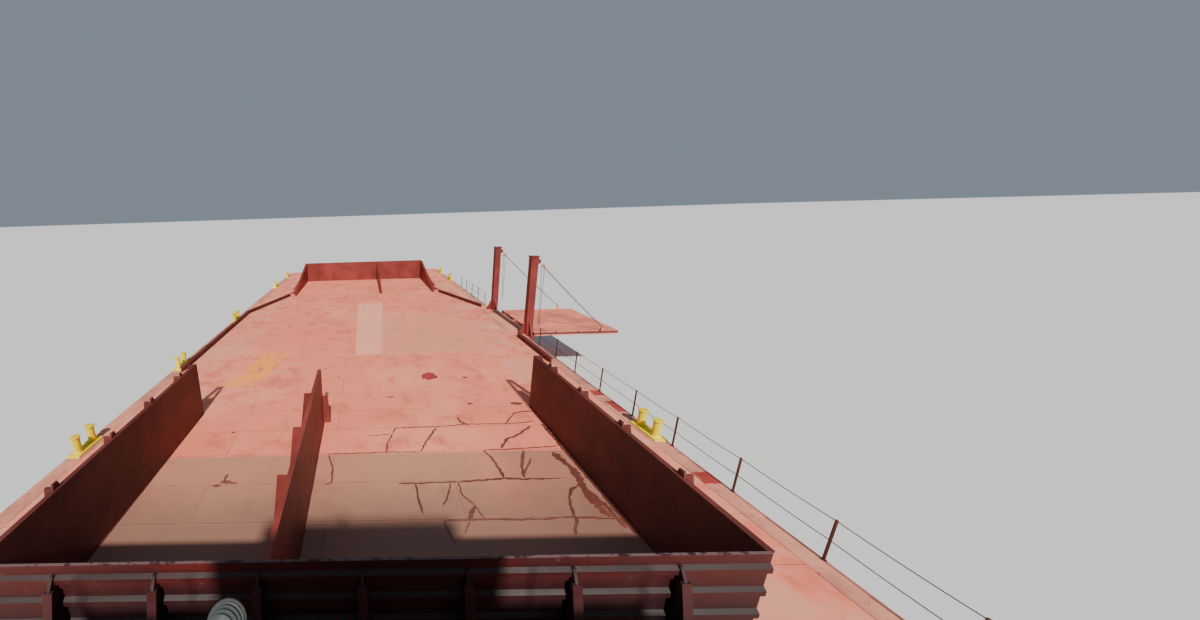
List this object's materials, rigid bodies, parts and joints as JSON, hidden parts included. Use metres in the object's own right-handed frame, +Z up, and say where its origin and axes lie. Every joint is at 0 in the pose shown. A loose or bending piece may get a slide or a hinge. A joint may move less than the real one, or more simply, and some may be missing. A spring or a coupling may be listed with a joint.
{
  "type": "river deck-cargo barge, scale model of 1:2",
  "caption": "Flat-decked river cargo barge with thin cargo walls, bow and aft bulkheads, a lowered side ramp between two posts, bollards and a stern deckhouse.",
  "frame": {"origin": "on the flat bottom, on the centreline, midway between bow and stern", "axes": "+Y to the bow, +X to starboard, +Z up"},
  "size_m": [15.179, 34, 7.5161],
  "materials": {
    "deck_primer": "chalky salmon-red primer, worn along the plate seams",
    "red_oxide": "matt red-oxide paint",
    "mooring_yellow": "satin yellow paint",
    "house_white": "satin white paint",
    "house_blue": "satin dark blue paint",
    "rail_orange": "satin orange paint",
    "machine_red": "matt dark red paint",
    "bare_steel": "bare steel with light rust"
  },
  "bodies": {
    "barge": {"hull": "deck_primer", "cargo_wall_starboard": "red_oxide", "cargo_wall_port": "red_oxide", "cargo_divider": "red_oxide", "aft_bulkhead": "red_oxide", "bow_bulkhead": "red_oxide", "bow_wing_starboard": "red_oxide", "bow_wing_port": "red_oxide", "bow_fin": "red_oxide", "coaming_port": "red_oxide", "coaming_starboard_aft": "red_oxide", "coaming_starboard_forward": "red_oxide", "ramp_sponson": "red_oxide", "ramp_post_aft": "red_oxide", "ramp_post_forward": "red_oxide", "ramp_chain_aft": "bare_steel", "ramp_chain_forward": "bare_steel", "deck_edge_port": "mooring_yellow", "deck_edge_starboard_aft": "mooring_yellow", "deck_edge_starboard_forward": "mooring_yellow", "hatch_coaming_port": "red_oxide", "hatch_coaming_starboard": "red_oxide", "bow_winch_frame": "machine_red", "stern_winch_frame": "machine_red", "store_walls_port": "house_white", "store_walls_starboard": "house_white", "bridge_deck": "house_white", "cabin_front_wall": "house_white", "cabin_back_wall": "house_white", "cabin_port_wall": "house_white", "cabin_starboard_wall": "house_white", "cabin_deck": "house_white", "wheelhouse_front_wall": "house_blue", "wheelhouse_back_wall": "house_blue", "wheelhouse_port_wall": "house_blue", "wheelhouse_starboard_wall": "house_blue", "wheelhouse_roof": "house_white", "bridge_deck_rails": "rail_orange", "cabin_deck_rails": "rail_orange", "deck_ladder": "house_white", "cabin_ladder": "house_white", "signal_mast": "house_white"},
    "side_ramp": {"side_ramp": "red_oxide"},
    "store_door_port": {"store_door_port": "house_blue"},
    "store_door_starboard": {"store_door_starboard": "house_blue"},
    "cabin_door_port": {"cabin_door_port": "house_blue"},
    "cabin_door_starboard": {"cabin_door_starboard": "house_blue"},
    "wheelhouse_door_port": {"wheelhouse_door_port": "house_blue"},
    "wheelhouse_door_starboard": {"wheelhouse_door_starboard": "house_blue"},
    "hatch_lid_port": {"hatch_lid_port": "red_oxide"},
    "hatch_lid_starboard": {"hatch_lid_starboard": "red_oxide"},
    "bow_winch_drum": {"bow_winch_drum": "bare_steel"},
    "stern_winch_drum": {"stern_winch_drum": "bare_steel"}
  },
  "joints": [
    {"name": "ramp_hinge", "type": "hinge", "parent": "barge", "child": "side_ramp", "pos_m": [6.18, 2.115, 2.05], "axis": [0, -1, 0], "range_deg": [-10, 85], "deforming": ["ramp_chain_aft", "ramp_chain_forward"]},
    {"name": "store_door_port_hinge", "type": "hinge", "parent": "barge", "child": "store_door_port", "pos_m": [-1.277, -12.25, 2.1603], "axis": [0, 0, -1], "range_deg": [0, 110]},
    {"name": "store_door_starboard_hinge", "type": "hinge", "parent": "barge", "child": "store_door_starboard", "pos_m": [1.277, -12.25, 2.1603], "axis": [0, 0, 1], "range_deg": [0, 110]},
    {"name": "cabin_door_port_hinge", "type": "hinge", "parent": "barge", "child": "cabin_door_port", "pos_m": [-2.623, -14.8, 3.3709], "axis": [0, 0, 1], "range_deg": [0, 110]},
    {"name": "cabin_door_starboard_hinge", "type": "hinge", "parent": "barge", "child": "cabin_door_starboard", "pos_m": [2.623, -14.8, 3.3709], "axis": [0, 0, -1], "range_deg": [0, 110]},
    {"name": "wheelhouse_door_port_hinge", "type": "hinge", "parent": "barge", "child": "wheelhouse_door_port", "pos_m": [-1.323, -14.4, 4.5565], "axis": [0, 0, 1], "range_deg": [0, 110]},
    {"name": "wheelhouse_door_starboard_hinge", "type": "hinge", "parent": "barge", "child": "wheelhouse_door_starboard", "pos_m": [1.323, -14.4, 4.5565], "axis": [0, 0, -1], "range_deg": [0, 110]},
    {"name": "hatch_lid_port_hinge", "type": "hinge", "parent": "barge", "child": "hatch_lid_port", "pos_m": [-1.5, 14.92, 2.4306], "axis": [1, 0, 0], "range_deg": [0, 110]},
    {"name": "hatch_lid_starboard_hinge", "type": "hinge", "parent": "barge", "child": "hatch_lid_starboard", "pos_m": [1.5, 14.92, 2.4306], "axis": [1, 0, 0], "range_deg": [0, 110]},
    {"name": "bow_winch_drum_spin", "type": "hinge", "parent": "barge", "child": "bow_winch_drum", "pos_m": [0, 14, 2.5203], "axis": [1, 0, 0], "continuous": true},
    {"name": "stern_winch_drum_spin", "type": "hinge", "parent": "barge", "child": "stern_winch_drum", "pos_m": [-0.15, -13.8, 2.5603], "axis": [1, 0, 0], "continuous": true}
  ]
}
